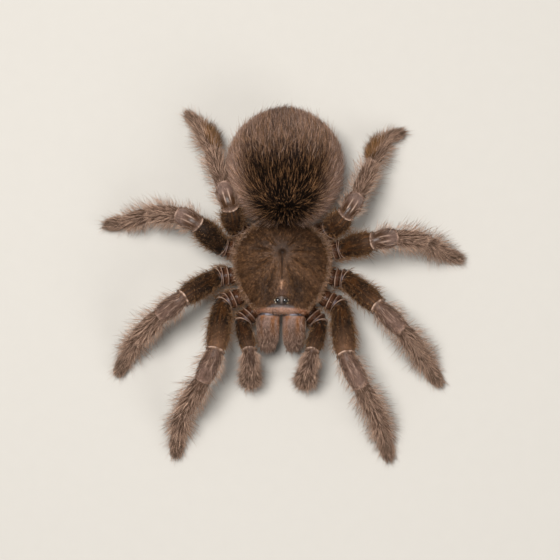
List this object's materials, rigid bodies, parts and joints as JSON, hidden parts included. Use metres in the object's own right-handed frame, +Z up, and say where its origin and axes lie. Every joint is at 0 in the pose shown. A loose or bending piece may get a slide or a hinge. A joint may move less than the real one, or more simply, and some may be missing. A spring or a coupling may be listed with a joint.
{
  "type": "ecuadorian brown velvet tarantula",
  "caption": "Still life-size tarantula, standing on all its feet: round hairy abdomen, oval carapace with eye turret, jaws, palps and jointed hairy legs.",
  "frame": {"origin": "on the floor, under the middle of the whole spider's box", "axes": "+Z up, the head towards -Y, the abdomen towards +Y, the spider's left side towards +X"},
  "size_m": [0.0994, 0.0972, 0.03],
  "materials": {
    "carapace_velvet": "short dense brown velvet hair over a hard shield",
    "eye_shell": "smooth glossy black cuticle",
    "abdomen_hair": "long dark brown hair with paler red brown tips",
    "femur_velvet": "dense dark brown velvet hair",
    "leg_velvet": "dense dusky brown velvet with long pale hairs",
    "foot_velvet": "dense grey brown velvet",
    "jaw_velvet": "short dusky brown velvet",
    "underside_hair": "dark brown hair",
    "fang_shell": "glossy black cuticle"
  },
  "bodies": {
    "root": {"carapace": "carapace_velvet", "eye_turret": "eye_shell", "sternum": "underside_hair", "pedicel": "underside_hair", "abdomen": "abdomen_hair", "chelicera_r": "jaw_velvet", "fang_r": "fang_shell", "chelicera_l": "jaw_velvet", "fang_l": "fang_shell", "spinneret_r": "underside_hair", "spinneret_l": "underside_hair", "palp_r_coxa": "underside_hair", "palp_r_femur": "femur_velvet", "palp_r_patella": "leg_velvet", "palp_r_foot": "foot_velvet", "palp_l_coxa": "underside_hair", "palp_l_femur": "femur_velvet", "palp_l_patella": "leg_velvet", "palp_l_foot": "foot_velvet", "leg_r1_coxa": "underside_hair", "leg_r1_femur": "femur_velvet", "leg_r1_patella": "leg_velvet", "leg_r1_tibia": "leg_velvet", "leg_r1_foot": "foot_velvet", "leg_r2_coxa": "underside_hair", "leg_r2_femur": "femur_velvet", "leg_r2_patella": "leg_velvet", "leg_r2_tibia": "leg_velvet", "leg_r2_foot": "foot_velvet", "leg_r3_coxa": "underside_hair", "leg_r3_femur": "femur_velvet", "leg_r3_patella": "leg_velvet", "leg_r3_tibia": "leg_velvet", "leg_r3_foot": "foot_velvet", "leg_r4_coxa": "underside_hair", "leg_r4_femur": "femur_velvet", "leg_r4_patella": "leg_velvet", "leg_r4_tibia": "leg_velvet", "leg_r4_foot": "foot_velvet", "leg_l1_coxa": "underside_hair", "leg_l1_femur": "femur_velvet", "leg_l1_patella": "leg_velvet", "leg_l1_tibia": "leg_velvet", "leg_l1_foot": "foot_velvet", "leg_l2_coxa": "underside_hair", "leg_l2_femur": "femur_velvet", "leg_l2_patella": "leg_velvet", "leg_l2_tibia": "leg_velvet", "leg_l2_foot": "foot_velvet", "leg_l3_coxa": "underside_hair", "leg_l3_femur": "femur_velvet", "leg_l3_patella": "leg_velvet", "leg_l3_tibia": "leg_velvet", "leg_l3_foot": "foot_velvet", "leg_l4_coxa": "underside_hair", "leg_l4_femur": "femur_velvet", "leg_l4_patella": "leg_velvet", "leg_l4_tibia": "leg_velvet", "leg_l4_foot": "foot_velvet"}
  },
  "joints": []
}
